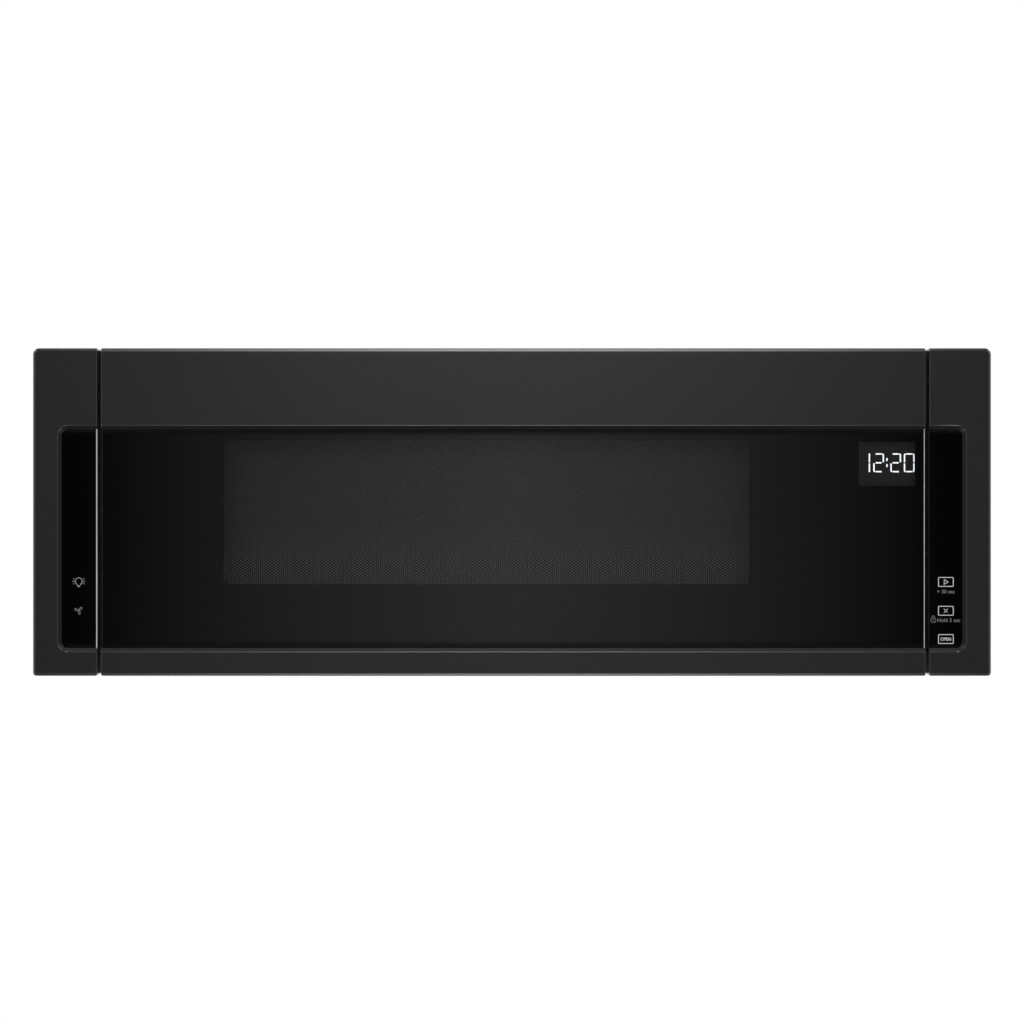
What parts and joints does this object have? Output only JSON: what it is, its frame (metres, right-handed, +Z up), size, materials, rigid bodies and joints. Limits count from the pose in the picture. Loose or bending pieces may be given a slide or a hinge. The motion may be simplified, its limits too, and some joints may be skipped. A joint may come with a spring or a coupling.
{
  "type": "over-the-range microwave oven",
  "caption": "Low-profile over-the-range microwave with a drop-down glass door between fixed touch-key columns, turntable cavity, vent blower and grease filters underneath.",
  "frame": {"origin": "middle of the underside of the cabinet, midway across its width and depth", "axes": "+X to the right as seen from the kitchen, -Y out of the door, +Y to the wall, +Z up"},
  "size_m": [0.76, 0.476, 0.26],
  "materials": {
    "black_steel": "black stainless steel, fine horizontal brushing under a satin clear coat",
    "front_glass": "black printed tempered glass, clear over the window",
    "column_glass": "black printed tempered glass",
    "door_enamel": "black enamel",
    "screen_steel": "perforated sheet, black enamel",
    "clear_pane": "clear pane",
    "black_plastic": "moulded, fine grain",
    "display": "dark filter over white digits",
    "hinge_steel": "zinc plated",
    "pin_steel": "ground pin",
    "chassis_steel": "black powder coat, satin",
    "side_paint": "black powder coat, fine texture",
    "galvanised": "galvanised sheet with spangle",
    "cavity_enamel": "light grey enamel",
    "mica": "mica sheet",
    "magnetron_metal": "pressed fins in a plated yoke",
    "transformer_iron": "varnished laminations and windings",
    "capacitor_can": "drawn can",
    "circuit_board": "green solder mask",
    "charcoal": "carbon granules",
    "motor_steel": "plated steel",
    "switch_plastic": "moulded",
    "latch_plastic": "natural acetal",
    "plunger_plastic": "red acetal",
    "coupler_plastic": "natural heat-proof plastic",
    "plate_glass": "clear pressed glass",
    "wheel_metal": "thin pressed blades",
    "fan_plastic": "moulded",
    "filter_mesh": "layered expanded mesh in a folded rim",
    "lamp_housing": "moulded",
    "lamp_lens": "frosted",
    "grommet_rubber": "soft black"
  },
  "bodies": {
    "chassis": {"base_pan": "chassis_steel", "top_panel": "chassis_steel", "left_side_panel": "side_paint", "right_side_panel": "side_paint", "back_panel": "galvanised", "wall_plate": "galvanised", "front_plate": "door_enamel", "cavity_liner": "cavity_enamel", "cavity_back": "cavity_enamel", "waveguide": "galvanised", "waveguide_cover": "mica", "magnetron": "magnetron_metal", "power_transformer": "transformer_iron", "high_voltage_capacitor": "capacitor_can", "power_board": "circuit_board", "left_column_frame": "black_steel", "left_column_glass": "column_glass", "right_column_frame": "black_steel", "right_column_glass": "column_glass", "left_touch_board": "circuit_board", "right_touch_board": "circuit_board", "vent_grille": "black_plastic", "charcoal_filter": "charcoal", "duct_collar": "galvanised", "blower_housing": "galvanised", "blower_motor": "motor_steel", "cooling_fan_motor": "motor_steel", "turntable_motor": "motor_steel", "interlock_switches": "switch_plastic", "release_solenoid": "motor_steel", "hinge_brackets": "hinge_steel", "hinge_pins": "pin_steel", "cooktop_lamps": "lamp_housing", "lamp_lenses": "lamp_lens", "cavity_lamp": "lamp_housing", "cord_grommet": "grommet_rubber"},
    "door": {"door_frame": "black_steel", "door_glass": "front_glass", "door_panel": "door_enamel", "perforated_screen": "screen_steel", "inner_window": "clear_pane", "choke_cover": "black_plastic", "display_module": "display", "door_hinge_arms": "hinge_steel"},
    "latch": {"latch_bar": "latch_plastic"},
    "release": {"release_bar": "latch_plastic"},
    "plungers": {"switch_plungers": "plunger_plastic"},
    "coupler": {"turntable_coupler": "coupler_plastic"},
    "plate": {"turntable_plate": "plate_glass"},
    "ring": {"roller_ring": "coupler_plastic"},
    "roller_1": {"roller_1": "coupler_plastic"},
    "roller_2": {"roller_2": "coupler_plastic"},
    "roller_3": {"roller_3": "coupler_plastic"},
    "blower_rotor": {"blower_wheels": "wheel_metal"},
    "fan_rotor": {"cooling_fan": "fan_plastic"},
    "damper": {"damper_flap": "galvanised"},
    "filter_left": {"grease_filter_left": "filter_mesh"},
    "filter_right": {"grease_filter_right": "filter_mesh"}
  },
  "joints": [
    {"name": "door_hinge", "type": "hinge", "parent": "chassis", "child": "door", "pos_m": [0, -0.206, 0.012], "axis": [1, 0, 0], "range_deg": [0, 90], "stiffness_Nm_per_rad": 1.5, "springref_deg": -57.3},
    {"name": "release_slide", "type": "slide", "parent": "chassis", "child": "release", "axis": [0, 0, 1], "range_m": [0, 0.004], "stiffness_N_per_m": 250, "springref_m": -0.004},
    {"name": "latch_slide", "type": "slide", "parent": "door", "child": "latch", "axis": [0, 0, 1], "range_m": [0, 0.004], "stiffness_N_per_m": 150, "springref_m": -0.004},
    {"name": "plunger_slide", "type": "slide", "parent": "chassis", "child": "plungers", "axis": [0, 1, 0], "range_m": [0, 0.0015], "stiffness_N_per_m": 200},
    {"name": "turntable_spin", "type": "hinge", "parent": "chassis", "child": "coupler", "pos_m": [-0.02, -0.0225, 0.05], "axis": [0, 0, 1], "continuous": true},
    {"name": "plate_lift", "type": "slide", "parent": "coupler", "child": "plate", "axis": [0, 0, 1], "range_m": [0, 0.025]},
    {"name": "ring_spin", "type": "hinge", "parent": "chassis", "child": "ring", "pos_m": [-0.02, -0.0225, 0.05], "axis": [0, 0, 1], "continuous": true},
    {"name": "roller_1_spin", "type": "hinge", "parent": "ring", "child": "roller_1", "pos_m": [0.081, -0.0225, 0.0498], "axis": [1, 0, 0], "continuous": true},
    {"name": "roller_2_spin", "type": "hinge", "parent": "ring", "child": "roller_2", "pos_m": [-0.0705, 0.06497, 0.0498], "axis": [-0.5, 0.866, 0], "continuous": true},
    {"name": "roller_3_spin", "type": "hinge", "parent": "ring", "child": "roller_3", "pos_m": [-0.0705, -0.10997, 0.0498], "axis": [-0.5, -0.866, 0], "continuous": true},
    {"name": "blower_spin", "type": "hinge", "parent": "chassis", "child": "blower_rotor", "pos_m": [0, 0.194, 0.162], "axis": [1, 0, 0], "continuous": true},
    {"name": "cooling_fan_spin", "type": "hinge", "parent": "chassis", "child": "fan_rotor", "pos_m": [0.312, 0.08, 0.13], "axis": [0, 1, 0], "continuous": true},
    {"name": "damper_hinge", "type": "hinge", "parent": "chassis", "child": "damper", "pos_m": [0, 0.2305, 0.233], "axis": [-1, 0, 0], "range_deg": [0, 75]},
    {"name": "filter_left_tilt", "type": "hinge", "parent": "chassis", "child": "filter_left", "pos_m": [-0.225, 0.102, 0.0045], "axis": [1, 0, 0], "range_deg": [0, 60]},
    {"name": "filter_right_tilt", "type": "hinge", "parent": "chassis", "child": "filter_right", "pos_m": [0.225, 0.102, 0.0045], "axis": [1, 0, 0], "range_deg": [0, 60]}
  ],
  "couplings": [
    {"joint": "latch_slide", "follows": "release_slide", "ratio": 1},
    {"joint": "ring_spin", "follows": "turntable_spin", "ratio": 0.5},
    {"joint": "roller_1_spin", "follows": "turntable_spin", "ratio": -6.7333},
    {"joint": "roller_2_spin", "follows": "turntable_spin", "ratio": -6.7333},
    {"joint": "roller_3_spin", "follows": "turntable_spin", "ratio": -6.7333}
  ]
}
